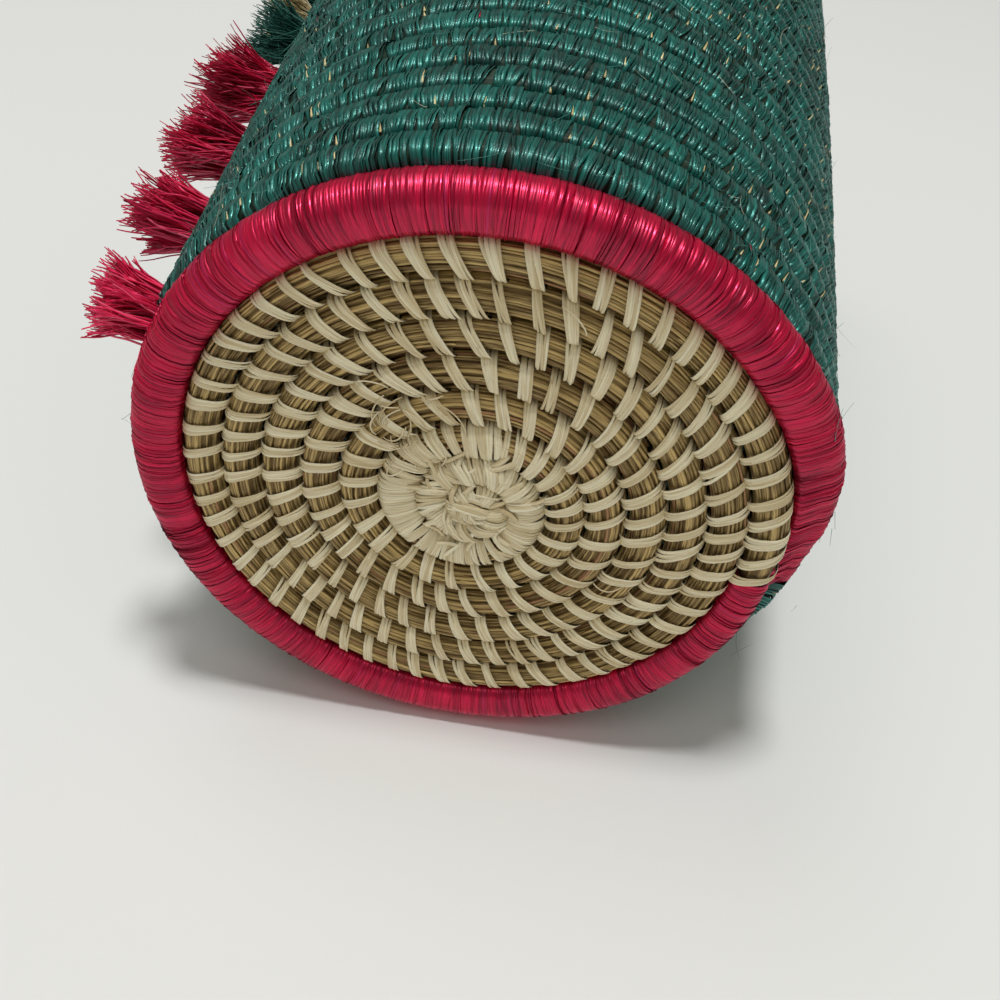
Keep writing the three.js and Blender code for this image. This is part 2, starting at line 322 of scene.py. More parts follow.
def plant_fibre_group():
    group = bpy.data.node_groups.new("plant fibre", "ShaderNodeTree")

    def add(way, kind, *names):
        for name in names:
            group.interface.new_socket(name=name, in_out=way, socket_type=kind)

    add("INPUT", "NodeSocketColor", "Dark", "Light", "Odd")
    add("INPUT", "NodeSocketFloat", "Odd Share", "Variety", "Streaks", "Contrast", "Edge Dimming", "Gloss")
    add("OUTPUT", "NodeSocketColor", "Color")
    add("OUTPUT", "NodeSocketFloat", "Roughness", "Height")
    given = add_node(group, "NodeGroupInput").outputs
    result = add_node(group, "NodeGroupOutput").inputs
    link = group.links.new

    def feed(socket, value):
        if isinstance(value, bpy.types.NodeSocket):
            link(value, socket)
        else:
            socket.default_value = value

    def math(operation, *values):
        node = add_node(group, "ShaderNodeMath", operation=operation)
        for socket, value in zip(node.inputs, values):
            feed(socket, value)
        return node.outputs[0]

    def mark(name):
        return add_node(group, "ShaderNodeAttribute", attribute_name=name).outputs["Fac"]

    def mix_colour(share, one, other, blend="MIX"):
        node = add_node(group, "ShaderNodeMix", data_type="RGBA", blend_type=blend, clamp_factor=True)
        for socket, value in zip((node.inputs[0], node.inputs[6], node.inputs[7]), (share, one, other)):
            feed(socket, value)
        return node.outputs[2]

    def noise(place, scale, detail, fineness):
        node = add_node(group, "ShaderNodeTexNoise")
        node.inputs["Scale"].default_value = scale
        node.inputs["Detail"].default_value = detail
        node.inputs["Roughness"].default_value = fineness
        link(place, node.inputs["Vector"])
        return node.outputs["Fac"]

    tone, across, along = mark("tone"), mark("across"), mark("along")
    streak_place = add_node(group, "ShaderNodeCombineXYZ")
    link(math("MULTIPLY", across, given["Streaks"]), streak_place.inputs["X"])
    link(math("MULTIPLY", along, STREAK_PACE), streak_place.inputs["Y"])
    link(math("MULTIPLY", tone, STREAK_SPREAD), streak_place.inputs["Z"])
    streaks = noise(streak_place.outputs[0], STREAK_SCALE, STREAK_DETAIL, STREAK_FINENESS)
    streak = math("SUBTRACT", streaks, 0.5)
    place = add_node(group, "ShaderNodeTexCoord").outputs["Object"]
    patch = math("SUBTRACT", noise(place, PATCH_SCALE, PATCH_DETAIL, PATCH_FINENESS), 0.5)
    own = math("SUBTRACT", math("FRACT", math("MULTIPLY", tone, TONE_SHUFFLE)), 0.5)
    varied = math("ADD", math("MULTIPLY", own, given["Variety"]), math("MULTIPLY", streak, STREAK_WEIGHT))
    varied = math("ADD", varied, math("MULTIPLY", patch, PATCH_WEIGHT))
    share = math("ADD", 0.5, math("MULTIPLY", varied, given["Contrast"]))
    plain = mix_colour(share, given["Dark"], given["Light"])
    odd = math("LESS_THAN", tone, given["Odd Share"])
    blended = mix_colour(math("MULTIPLY", odd, ODD_COVER), plain, given["Odd"])
    # Painted shade: the colour darkens toward each strand's edges, where it meets its neighbours
    edge = math("POWER", math("ABSOLUTE", across), EDGE_SHADE_SHARPNESS)
    dim = math("SUBTRACT", 1.0, math("MULTIPLY", edge, given["Edge Dimming"]))
    link(mix_colour(1.0, blended, dim, "MULTIPLY"), result["Color"])
    dull = math("SUBTRACT", DULL_ROUGHNESS, given["Gloss"])
    link(math("SUBTRACT", dull, math("MULTIPLY", streak, STREAK_ROUGHENING)), result["Roughness"])
    link(streaks, result["Height"])
    return group


plant_fibre = plant_fibre_group()


# Material of a plant fibre, whose look gives the shared shading's inputs by name. The ridge is how far its
# streaks stand out, and the gleam is the share of the light that comes back in the colour of its dye.
def fibre_material(name, ridge, refraction, highlight, gleam=0, **look):
    material, tree, surface = new_material(name)
    fibre = add_node(tree, "ShaderNodeGroup", node_tree=plant_fibre)
    for trait, value in look.items():
        socket = fibre.inputs[trait.replace("_", " ").title()]
        socket.default_value = value if np.isscalar(value) else colour(value)
    bump = add_node(tree, "ShaderNodeBump")
    bump.inputs["Strength"].default_value = 1.0
    bump.inputs["Distance"].default_value = ridge * MM
    tree.links.new(fibre.outputs["Height"], bump.inputs["Height"])
    tree.links.new(fibre.outputs["Color"], surface.inputs["Base Color"])
    tree.links.new(fibre.outputs["Roughness"], surface.inputs["Roughness"])
    tree.links.new(bump.outputs["Normal"], surface.inputs["Normal"])
    surface.inputs["IOR"].default_value = refraction
    surface.inputs["Specular Tint"].default_value = colour(highlight)
    surface.inputs["Metallic"].default_value = gleam
    return material


random = np.random.default_rng(seed=11)
base_length = base_length_to(BASE_TURNS)
stalk_rows = []
for lane in range(STALK_LANES):
    start = -random.uniform(0, STALK_LENGTHS[0])
    while start < base_length - STALK_OVERLAP:
        end = start + random.uniform(*STALK_LENGTHS)
        stalk_rows.append((lane, max(start, 0), min(end + STALK_OVERLAP, base_length)))
        start = end
stalk_lane, stalk_start, stalk_end = np.array(stalk_rows).T[:, :, None]
stalk_count = len(stalk_rows)
stalk_reach = mixed(stalk_start, stalk_end, np.linspace(0, 1, STALK_STEPS))
stalk_phase = random.uniform(0, TAU, (stalk_count, 2, 1))
stalk_lane = stalk_lane + random.uniform(-STALK_SCATTER, STALK_SCATTER, (stalk_count, 1))
stalk_angle = TAU * stalk_lane / STALK_LANES
stalk_angle = stalk_angle + STALK_SWAY * np.sin(stalk_reach / STALK_SWAY_LENGTH + stalk_phase[:, 0])
stalk_width = random.uniform(*STALK_WIDTHS, (stalk_count, 1))
stalk_end_reach = np.minimum(stalk_reach - stalk_start, stalk_end - stalk_reach)
stalk_out = np.clip(stalk_end_reach / STALK_OVERLAP, 0, 1)
stalk_lift = -stalk_width / 2 + random.uniform(*STALK_LIFTS, (stalk_count, 1)) - STALK_TUCK * (1 - stalk_out)
stalk_lift = stalk_lift + STALK_BOW * np.sin(stalk_reach / STALK_BOW_LENGTH + stalk_phase[:, 1])
stalk_path, stalk_facing = on_coil(base_spine, base_turn_after(stalk_reach), stalk_angle, stalk_lift)
stalk_material = fibre_material(
    "dry grass stalks", dark=(116, 90, 48), light=(218, 188, 124), odd=(170, 122, 84), odd_share=0.05,
    variety=1.1, streaks=1.2, contrast=1.0, edge_dimming=0.35, gloss=0.16, ridge=0.08, refraction=1.56,
    highlight=(255, 244, 214),
)
base_stalks = strand_piece(
    "base_stalks", stalk_material, stalk_path, stalk_facing, stalk_width * mixed(STALK_TIP, 1, stalk_out),
    STALK_THINNESS * stalk_width, round_section(sides=4), False, random.random(stalk_count),
)
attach(base_stalks, "root")
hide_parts("base_coil")

heart_material = fibre_material(
    "shaded grass", dark=(96, 74, 40), light=(146, 118, 70), streaks=9, contrast=0.8, ridge=0.1,
    refraction=1.5, highlight=(255, 244, 214),
)
heart_turns = np.linspace(HEART_START, BASE_TURNS, HEART_STEPS)
base_heart = bundle_core(
    "base_heart", heart_material, base_spine, heart_turns, round_section(sides=12), depth=0.42,
)
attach(base_heart, "root")

# Stitches: flat bands of raffia, a few strands to a band, that go round the grass coil at a slant and bite
# into the edge of the turn inside it, which sews the turns together. They lie close together near the knot.
STITCH_STEPS = 24
STITCH_STRANDS = 5
STITCH_BANDS = (1.5, 2.25)
STITCH_OVERLAP = 1.45
STITCH_THICKNESS = 0.14
STITCH_LIFTS = (0.08, 0.18)
STITCH_STRAND_LIFTS = (-0.03, 0.05)
STITCH_BITE = 0.95
STITCH_BITE_SPREAD = (-0.25, 0.3)
STITCH_STRAND_BITE = 0.1
STITCH_SLANT = 22
STITCH_SLANT_SPREAD = 4
STITCH_STRAND_SLANT = 0.05
KNOT_SLANT_SHARE = 0.4
SLANT_SHARE_PER_TURN = 0.3
FIRST_STITCH = 0.5
LAST_STITCH = 1
CLOSE_SPACING = 2.1
OPEN_SPACING = 4.9
CLOSE_TURNS = 0.55
OPEN_TURNS = 1.2
SPACING_SPREAD = (0.85, 1.15)
INNER_SQUARENESS = 0.62
OUTER_SQUARENESS = 0.85


def stitch_spacing(turn):
    opened = np.clip((turn - CLOSE_TURNS) / (OPEN_TURNS - CLOSE_TURNS), 0, 1)
    return mixed(CLOSE_SPACING, OPEN_SPACING, opened)


# Sine or cosine round a section that is squarer than a circle, the more so the lower the number
def squared_off(share, squareness):
    return np.sign(share) * np.abs(share) ** squareness


# Loops round a coil at a slant to it, which reach further and turn more sharply on its inner side
def slanted_loops(spine, turn, offset, lift, bite, slant, steps):
    angle = TAU * np.arange(steps) / steps
    middle, _, half_width, _ = spine(turn)
    squareness = np.where(np.cos(angle) < 0, INNER_SQUARENESS, OUTER_SQUARENESS)
    sideways = squared_off(np.cos(angle), squareness)
    upward = squared_off(np.sin(angle), squareness)
    reach = (half_width + lift) * sideways - bite * np.clip(-sideways, 0, 1) ** 2
    radius = np.linalg.norm((middle - base_centre)[..., :2], axis=-1)
    shifted = turn + (offset - reach * np.tan(slant)) / (TAU * radius)
    middle, outward, half_width, half_height = spine(shifted)
    path = middle + outward * reach[..., None] + UP * ((half_height + lift) * upward)[..., None]
    return path, outward * np.cos(angle)[..., None] + UP * np.sin(angle)[..., None]


random = np.random.default_rng(seed=23)
stitch_rows = []
stitch_reach = FIRST_STITCH
while stitch_reach < base_length - LAST_STITCH:
    turn = base_turn_after(stitch_reach)
    band = random.uniform(*STITCH_BANDS)
    slant_share = min(1, KNOT_SLANT_SHARE + SLANT_SHARE_PER_TURN * turn)
    slant = np.radians(STITCH_SLANT * slant_share + random.normal(0, STITCH_SLANT_SPREAD))
    bite = STITCH_BITE + random.uniform(*STITCH_BITE_SPREAD)
    lift = random.uniform(*STITCH_LIFTS)
    for lane in np.linspace(-1, 1, STITCH_STRANDS):
        offset = lane * band * (1 - 1 / STITCH_STRANDS) / 2
        stitch_rows.append((turn, offset, slant, bite, lift, band / STITCH_STRANDS))
    stitch_reach += stitch_spacing(turn) * random.uniform(*SPACING_SPREAD)
stitch_columns = np.array(stitch_rows).T[:, :, None]
stitch_turn, stitch_offset, stitch_slant, stitch_bite, stitch_lift, stitch_width = stitch_columns
stitch_count = len(stitch_rows)
stitch_slant = stitch_slant + random.normal(0, STITCH_STRAND_SLANT, (stitch_count, 1))
stitch_bite = stitch_bite + random.normal(0, STITCH_STRAND_BITE, (stitch_count, 1))
stitch_lift = stitch_lift + random.uniform(*STITCH_STRAND_LIFTS, (stitch_count, 1))
stitch_path, stitch_facing = slanted_loops(
    base_spine, stitch_turn, stitch_offset, stitch_lift, stitch_bite, stitch_slant, STITCH_STEPS,
)
raffia_material = fibre_material(
    "raffia", dark=(210, 188, 142), light=(255, 246, 212), odd=(246, 236, 206), odd_share=0.06, variety=0.9,
    streaks=1.8, contrast=0.75, edge_dimming=0.22, gloss=0.22, ridge=0.1, refraction=1.5,
    highlight=(255, 248, 226),
)
stitches = strand_piece(
    "raffia_stitches", raffia_material, stitch_path, stitch_facing, stitch_width * STITCH_OVERLAP,
    STITCH_THICKNESS, FINE_SECTION, True, random.random(stitch_count), rounding=0.6,
)
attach(stitches, "root")

# Start knot: the tip of the grass coil bent on itself and wound all round with raffia in puffy wraps.
# Strands of raffia that lie across its middle tie it off and close the hole, and others cross the wraps.
KNOT_WRAPS = 27
KNOT_STRANDS = 6
KNOT_STATIONS = 200
KNOT_SCATTER = 0.35
KNOT_BAND = 2.5
KNOT_BAND_SPREAD = (0.85, 1.2)
KNOT_OVERLAP = 1.7
KNOT_THICKNESS = 0.24
KNOT_BITE = 0.3
KNOT_PUFF = 0.5
KNOT_PUFF_SPREAD = (0.2, 1.3)
KNOT_STRAND_LIFT = 0.04
KNOT_SLANT = 26
KNOT_SLANT_SPREAD = 13
KNOT_STRAND_SLANT = 0.07
TIES = 22
TIE_STEPS = 13
TIE_HEADING = np.radians(10)
TIE_WIDTHS = (0.5, 1)
TIE_THICKNESS = 0.22
TIE_REACH = 4.4
TIE_REACH_SPREAD = (0.75, 1.05)
TIE_SPREAD = 3.1
TIE_SCATTER = 0.08
TIE_CLOSING = 0.55
TIE_CROSSING = 0.35
TIE_HEIGHT = 0.35
TIE_DISH = 0.5
TIE_LIFT = 0.2
TIE_TUCK = 1.3
PLUG_RADIUS = 2.2
PLUG_HEIGHTS = (1.3, 4.8)
PLUG_STEPS = 4
CROSSINGS = 30
CROSS_STEPS = 9
CROSS_RADII = (3, 12.5)
CROSS_SLANT = 0.5
CROSS_SLANT_SPREAD = 0.6
CROSS_BEND = 0.3
CROSS_REACHES = (1.6, 3.2)
CROSS_HEIGHTS = (0.2, 0.75)
CROSS_LIFTS = (-0.1, 0.25)
CROSS_WIDTHS = (0.5, 1.1)
CROSS_THICKNESS = 0.16

random = np.random.default_rng(seed=37)
wrap = np.repeat(np.arange(KNOT_WRAPS), KNOT_STRANDS)
lane = np.tile(np.linspace(-1, 1, KNOT_STRANDS), KNOT_WRAPS)
knot_count = len(wrap)
knot_turn = np.linspace(-KNOT_TURNS, 0, KNOT_STATIONS)
knot_radius = np.linalg.norm((base_spine(knot_turn)[0] - base_centre)[:, :2], axis=-1)
knot_reach = np.cumsum(knot_radius)
wrap_place = np.arange(KNOT_WRAPS) + 0.5 + random.uniform(-KNOT_SCATTER, KNOT_SCATTER, KNOT_WRAPS)
wrap_turn = np.interp(wrap_place / KNOT_WRAPS * knot_reach[-1], knot_reach, knot_turn)
wrap_band = KNOT_BAND * random.uniform(*KNOT_BAND_SPREAD, KNOT_WRAPS)
wrap_slant = np.radians(KNOT_SLANT + random.normal(0, KNOT_SLANT_SPREAD, KNOT_WRAPS))
wrap_puff = KNOT_PUFF * random.uniform(*KNOT_PUFF_SPREAD, KNOT_WRAPS)
knot_offset = lane * wrap_band[wrap] / 2
knot_lift = wrap_puff[wrap] * (1 - lane ** 2)
knot_lift = knot_lift + random.uniform(-KNOT_STRAND_LIFT, KNOT_STRAND_LIFT, knot_count)
knot_slant = wrap_slant[wrap][:, None] + random.normal(0, KNOT_STRAND_SLANT, (knot_count, 1))
knot_path, knot_facing = slanted_loops(
    base_spine, wrap_turn[wrap][:, None], knot_offset[:, None], knot_lift[:, None], KNOT_BITE, knot_slant,
    STITCH_STEPS,
)
start_knot = strand_piece(
    "start_knot_wraps", raffia_material, knot_path, knot_facing, KNOT_BAND / KNOT_STRANDS * KNOT_OVERLAP,
    KNOT_THICKNESS, FLAT_SECTION, True, random.random(knot_count),
)

tie_share = np.linspace(-1, 1, TIE_STEPS)
tie_lane = np.linspace(-1, 1, TIES)[:, None] + random.normal(0, TIE_SCATTER, (TIES, 1))
tie_reach = TIE_REACH * random.uniform(*TIE_REACH_SPREAD, (TIES, 1)) * tie_share
tie_aside = TIE_SPREAD * tie_lane * (1 - TIE_CLOSING * tie_share ** 2)
tie_aside = tie_aside + random.normal(0, TIE_CROSSING, (TIES, 1)) * tie_share
tie_height = TIE_HEIGHT + TIE_DISH * tie_lane ** 2 + random.uniform(-TIE_LIFT, TIE_LIFT, (TIES, 1))
tie_height = tie_height + TIE_TUCK * tie_share ** 4
tie_along = outward_at(np.array(TIE_HEADING))
tie_path = base_centre + tie_along * tie_reach[..., None] + np.cross(UP, tie_along) * tie_aside[..., None]
tie_path = tie_path + UP * tie_height[..., None]
knot_ties = strand_piece(
    "start_knot_ties", raffia_material, tie_path, -UP, random.uniform(*TIE_WIDTHS, (TIES, 1)), TIE_THICKNESS,
    FLAT_SECTION, False, random.random(TIES),
)

plug_path = base_centre + UP * np.linspace(*PLUG_HEIGHTS, PLUG_STEPS)[:, None]
knot_plug = strand_piece(
    "start_knot_plug", raffia_material, plug_path[None], outward_at(np.zeros(1)), 2 * PLUG_RADIUS,
    2 * PLUG_RADIUS, round_section(sides=16), False, np.zeros(1),
)

cross_share = np.linspace(-1, 1, CROSS_STEPS)
cross_angle = random.uniform(0, TAU, (CROSSINGS, 1))
cross_radius = random.uniform(*CROSS_RADII, (CROSSINGS, 1))
cross_heading = cross_angle + random.normal(CROSS_SLANT, CROSS_SLANT_SPREAD, (CROSSINGS, 1))
cross_heading = cross_heading + random.normal(0, CROSS_BEND, (CROSSINGS, 1)) * cross_share
cross_reach = random.uniform(*CROSS_REACHES, (CROSSINGS, 1)) * cross_share
cross_path = base_centre + outward_at(cross_angle) * cross_radius[..., None]
cross_path = cross_path + outward_at(cross_heading) * cross_reach[..., None]
cross_height = mixed(*CROSS_HEIGHTS, cross_radius / CROSS_RADII[1])
cross_height = cross_height + random.uniform(*CROSS_LIFTS, (CROSSINGS, 1)) + cross_share ** 4
cross_path = cross_path + UP * cross_height[..., None]
knot_crossings = strand_piece(
    "start_knot_crossings", raffia_material, cross_path, -UP,
    random.uniform(*CROSS_WIDTHS, (CROSSINGS, 1)), CROSS_THICKNESS, FLAT_SECTION, False,
    random.random(CROSSINGS),
)
for piece in (start_knot, knot_ties, knot_plug, knot_crossings):
    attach(piece, "root")
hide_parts("start_knot")

# Foot: the coil's last turn round the base, thickened and wound with fine raspberry sisal, fibre by fibre.
# In its last stretch it climbs over its own start to become the first row of the wall.
FOOT_COIL = 8.3
FOOT_SWELL = 1 / 8
CLIMB = 1 / 8
ROW_WIDTH = 6.4
ROW_HEIGHT = 6.05
WALL_OVERHANG = 0.5
WALL_FLARE = 7.4
FLARE_BOW = 0.35
STRETCH_ROWS = 4
TURN_END = 1 - 1e-9
FOOT_OVERRUN = 0.02
FOOT_BITE = 4
FOOT_LEAN = 1
FIRST_ROW_SWELL = 0.2
WINDINGS = 1500
WINDING_STEPS = 18
WINDING_WIDTH = 0.7
WINDING_WIDTH_SPREAD = (0.8, 1.2)
WINDING_THICKNESS = 0.13
WINDING_ROLL = 0.48
WINDING_TILT = 0.0004
FIRST_WINDING = 0.6
WINDING_SCATTER = 0.35
WINDING_START = 0.0006
WINDING_LIFT = -0.06
WINDING_LIFT_SPREAD = 0.02
BUNCH_LIFT = 0.02
BUNCH_PACE = 611
BUNCH_DRIFT = 2
BUNCH_DRIFT_PACE = 97
WIDE_BUNCH_PACE = 347
FOOT_CORE_ENDS = (0.001, 0.999)
LINING_STEPS = 160
FOOT_HEART_STEPS = 120


def nodes_named(stem):
    return sum(name.startswith(stem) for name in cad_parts)


wall_stretches = nodes_named("wall_coil_")
wall_pitch = ROW_HEIGHT + TURN_GAP
rim_row = wall_stretches * STRETCH_ROWS
first_row_height = FOOT_COIL + TURN_GAP + ROW_HEIGHT / 2
foot_seat = base_radius + base_pitch * (BASE_TURNS - 1) + BASE_WIDTH / 2 + TURN_GAP
wall_start_radius = foot_seat + base_pitch / 2 + FOOT_COIL + WALL_OVERHANG - ROW_WIDTH / 2


def wall_radius(row):
    share = row / rim_row
    return wall_start_radius + WALL_FLARE * share * (1 + FLARE_BOW * (1 - share))


# Share of a row's height that a turn has climbed, which is none until its last stretch
def climb(turn):
    return np.clip(1 - (1 - turn % 1) / CLIMB, 0, 1)


# Share of the way from the foot to the first row of the wall, which is all of it past the end of the turn
def foot_climb(turn):
    return np.where(turn < 1, climb(np.clip(turn, 0, TURN_END)), 1)


def foot_spine(turn):
    outward = outward_at(SEAM_ANGLE + TAU * turn)
    risen = foot_climb(turn)
    width = mixed(BASE_WIDTH, FOOT_COIL, np.clip(turn / FOOT_SWELL, 0, 1))
    radius = foot_seat + base_pitch * turn + width / 2
    low = base_centre + outward * radius[..., None] + UP * COIL_PLANE
    high = outward * wall_radius(0) + UP * first_row_height
    middle = mixed(low, high, risen[..., None])
    half_width = mixed(width, ROW_WIDTH, risen) / 2
    half_height = mixed(width, ROW_HEIGHT, risen) / 2
    return middle, outward, half_width, half_height


random = np.random.default_rng(seed=41)
winding_place = np.arange(WINDINGS) + FIRST_WINDING
winding_place = winding_place + random.uniform(-WINDING_SCATTER, WINDING_SCATTER, WINDINGS)
winding_turn = (1 + FOOT_OVERRUN) * winding_place / (WINDINGS + 1)
winding_angle = np.pi + TAU * np.arange(WINDING_STEPS) / WINDING_STEPS
winding_tilt = random.normal(0, WINDING_TILT, (WINDINGS, 2))
sway = winding_tilt[:, :1] * np.cos(winding_angle) + winding_tilt[:, 1:] * np.sin(winding_angle)
bunch_drift = BUNCH_DRIFT * np.sin(winding_turn * BUNCH_DRIFT_PACE)
bunch = np.sin(winding_turn * BUNCH_PACE + bunch_drift) + np.sin(winding_turn * WIDE_BUNCH_PACE)
winding_lift = WINDING_LIFT + BUNCH_LIFT * bunch
winding_lift = winding_lift + random.uniform(-WINDING_LIFT_SPREAD, WINDING_LIFT_SPREAD, WINDINGS)
winding_risen = foot_climb(winding_turn)
winding_lift = winding_lift + FIRST_ROW_SWELL * winding_risen
winding_turns = np.clip(winding_turn[:, None] + sway, WINDING_START, 1 + FOOT_OVERRUN)
winding_path, winding_facing = on_coil(foot_spine, winding_turns, winding_angle, winding_lift[:, None])
inner_share = np.clip(-np.cos(winding_angle), 0, 1) * np.clip(-np.sin(winding_angle), 0, 1) * 2
winding_outward = foot_spine(winding_turns)[1]
winding_path = winding_path - UP * (FOOT_BITE * inner_share * winding_risen[:, None])[..., None]
winding_path = winding_path - winding_outward * (FOOT_LEAN * inner_share)[:, None]
winding_ahead = np.cross(UP, winding_outward)
winding_facing = winding_facing + winding_ahead * random.normal(0, WINDING_ROLL, (WINDINGS, 1, 1))
winding_width = WINDING_WIDTH * random.uniform(*WINDING_WIDTH_SPREAD, (WINDINGS, 1))
raspberry_material = fibre_material(
    "raspberry sisal", dark=(120, 0, 30), light=(226, 6, 68), odd=(186, 24, 80), odd_share=0.015,
    variety=0.4, streaks=1.2, contrast=0.9, edge_dimming=0.05, gloss=0.3, ridge=0.03, refraction=2.2,
    highlight=(255, 160, 192), gleam=0.5,
)
foot_windings = strand_piece(
    "foot_windings", raspberry_material, winding_path, winding_facing, winding_width, WINDING_THICKNESS,
    FINE_SECTION, True, random.random(WINDINGS), rounding=0.8,
)
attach(foot_windings, "root")
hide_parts("foot_wrap")

lining_material = fibre_material(
    "shaded raspberry sisal", dark=(106, 0, 26), light=(176, 0, 50), streaks=9, contrast=0.8, ridge=0.05,
    refraction=1.37, highlight=(255, 116, 156),
)
lining_turns = np.linspace(*FOOT_CORE_ENDS, LINING_STEPS)
foot_lining = bundle_core(
    "foot_lining", lining_material, foot_spine, lining_turns, round_section(sides=16), depth=0.22,
)
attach(foot_lining, "root")

foot_heart_turns = np.linspace(*FOOT_CORE_ENDS, FOOT_HEART_STEPS)
foot_heart = bundle_core(
    "foot_heart", heart_material, foot_spine, foot_heart_turns, round_section(sides=16), depth=0.4,
)
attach(foot_heart, "root")
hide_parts("foot_core")

# Wall: the same coil wound with flat teal sisal strands, row on row, with a sewing strand between the rows.
# The strands part here and there, and the pale grass inside shows through as short glints. A few specks of
# raspberry sisal are caught in the wraps.
ROW_SQUARENESS = 0.67
ROW_FLAT = 0.36
ROW_SLOPE = 0.62
ROW_SWELL = 0.1
FIRST_ROW_BITE = 1
FIRST_ROW_ONSET = 8
WRAPS_PER_ROW = 840
WRAPS_TOGETHER = (3, 8)
WRAP_STEPS = 9
WRAP_CROWDING = 0.5
WRAP_CROWDING_ANGLE = 0.44
WRAP_WIDTH = 0.66
WRAP_WIDTH_SPREAD = (0.6, 1.2)
WRAP_THICKNESS = 0.18
WRAP_ROLL = 0.38
WRAP_SCATTER = 0.3
WRAP_GATHER = (0.1, 0.4)
WRAP_LEAN = 0.1
WRAP_LEAN_SPREAD = 0.1
WRAP_BOW = 0.12
WRAP_LIFTS = (-0.14, 0.02)
WRAP_POINT_LIFT = 0.07
WRAP_RIPPLE = 0.2
WRAP_BITE = 0.5
WRAP_MARGIN = 0.0004
ROW_CORE_START = 0.002
ROW_CORE_STEPS = 64
ROW_CORE_SIDES = 12
ROW_CORE_DEPTH = 0.3
SEWING_SIZE = 1.7
SEWING_END = 0.034
FLECK_TAPER = np.array([0.9, 1, 0.75, 0.45, 0.12])
FLECK_THICKNESS = 0.16
FLECK_LIFT = 0.02
FLECK_TILT = 0.0002


def wall_spine(turn):
    outward = outward_at(SEAM_ANGLE + TAU * turn)
    height = first_row_height + wall_pitch * (np.floor(turn) + climb(turn))
    middle = outward * wall_radius(turn)[..., None] + UP * height[..., None]
    return middle, outward, ROW_WIDTH / 2, ROW_HEIGHT / 2 + ROW_SWELL


# Section of a row, which is flat on the outside and slopes inward where its wraps go down to the row below
def row_profile(angle):
    sideways = squared_off(np.cos(angle), ROW_SQUARENESS)
    upward = squared_off(np.sin(angle), ROW_SQUARENESS)
    return np.minimum(sideways, 1 - ROW_SLOPE * np.clip(-upward - ROW_FLAT, 0, None)), upward


# Turns of a coil at which one bundle of wraps ends and the next begins
def wrap_partings(first, last, random):
    wraps = int(round((last - first) * WRAPS_PER_ROW))
    sizes = random.integers(*WRAPS_TOGETHER, wraps // WRAPS_TOGETHER[0])
    edges = np.concatenate([[0], np.cumsum(sizes)])
    edges = edges[edges < wraps - WRAPS_TOGETHER[0]]
    return first + (last - first) * np.append(edges, wraps) / wraps


# Closed wraps round a coil in bundles, whose wraps draw together where they go down between two rows.
# Their points lie closest together on the outside of the wall.
def wound_strands(name, spine, partings, random):
    first, last = partings[0], partings[-1]
    count = int(round((last - first) * WRAPS_PER_ROW))
    angle = TAU * np.arange(WRAP_STEPS) / WRAP_STEPS
    angle = angle - WRAP_CROWDING * np.sin(angle + WRAP_CROWDING_ANGLE)
    place = np.arange(count) + 0.5 + random.uniform(-WRAP_SCATTER, WRAP_SCATTER, count)
    turn = first + (last - first) * place / count
    bundle = np.clip(np.searchsorted(partings, turn) - 1, 0, len(partings) - 2)
    bundle_middle = (partings[bundle] + partings[bundle + 1]) / 2
    rise = np.sin(angle)
    down = np.clip(-rise, 0, 1)
    gather = random.uniform(*WRAP_GATHER, count)[bundle][:, None] * down ** 2
    gather = gather * np.clip(turn, 0, 1)[:, None]
    lean = random.normal(WRAP_LEAN, WRAP_LEAN_SPREAD, count)[bundle][:, None]
    lean = lean + random.normal(0, WRAP_LEAN_SPREAD, (count, 1))
    bow = random.normal(0, WRAP_BOW, count)[bundle][:, None]
    shift = (lean * rise * ROW_HEIGHT / 2 + bow * np.cos(angle)) / (TAU * wall_radius(turn)[:, None])
    turns = turn[:, None] + shift + gather * (bundle_middle - turn)[:, None]
    turns = np.clip(turns, first + WRAP_MARGIN, last - WRAP_MARGIN)
    lift = random.uniform(*WRAP_LIFTS, count)[bundle][:, None]
    lift = lift + random.uniform(-WRAP_POINT_LIFT, WRAP_POINT_LIFT, (count, WRAP_STEPS))
    ripple = np.sin(2 * angle + random.uniform(0, TAU, count)[bundle][:, None])
    lift = lift + random.uniform(0, WRAP_RIPPLE, count)[bundle][:, None] * ripple
    path, facing = on_coil(spine, turns, angle, lift, row_profile)
    roll = random.normal(0, WRAP_ROLL / 2, count)[bundle] + random.normal(0, WRAP_ROLL, count)
    facing = facing + np.cross(UP, spine(turns)[1]) * roll[:, None, None]
    first_row_bite = FIRST_ROW_BITE * np.clip(FIRST_ROW_ONSET * turn, 0, 1) * (turn < 1)
    bite = random.uniform(0, WRAP_BITE, count)[bundle] + first_row_bite
    path = path - UP * (bite[:, None] * down ** 3)[..., None]
    width = WRAP_WIDTH * random.uniform(*WRAP_WIDTH_SPREAD, (count, 1))
    tone = random.random(count)
    return strand_piece(
        name, teal_material, path, facing, width, WRAP_THICKNESS, FINE_SECTION, True, tone, rounding=0.8,
    )


teal_material = fibre_material(
    "teal sisal", dark=(0, 24, 22), light=(16, 112, 102), odd=(34, 122, 112), odd_share=0.02, variety=0.6,
    streaks=1.8, contrast=1.1, edge_dimming=0.15, gloss=0.28, ridge=0.06, refraction=1.92,
    highlight=(206, 250, 242), gleam=0.35,
)
random = np.random.default_rng(seed=53)
wall_partings = []
for stretch in range(wall_stretches):
    first = max(stretch * STRETCH_ROWS, FOOT_OVERRUN)
    partings = wrap_partings(first, (stretch + 1) * STRETCH_ROWS, random)
    wall_partings.extend(partings[1:-1])
    wraps = wound_strands(f"wall_wraps_{stretch + 1}", wall_spine, partings, random)
    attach(wraps, "root")
    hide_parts(f"wall_coil_{stretch + 1}")

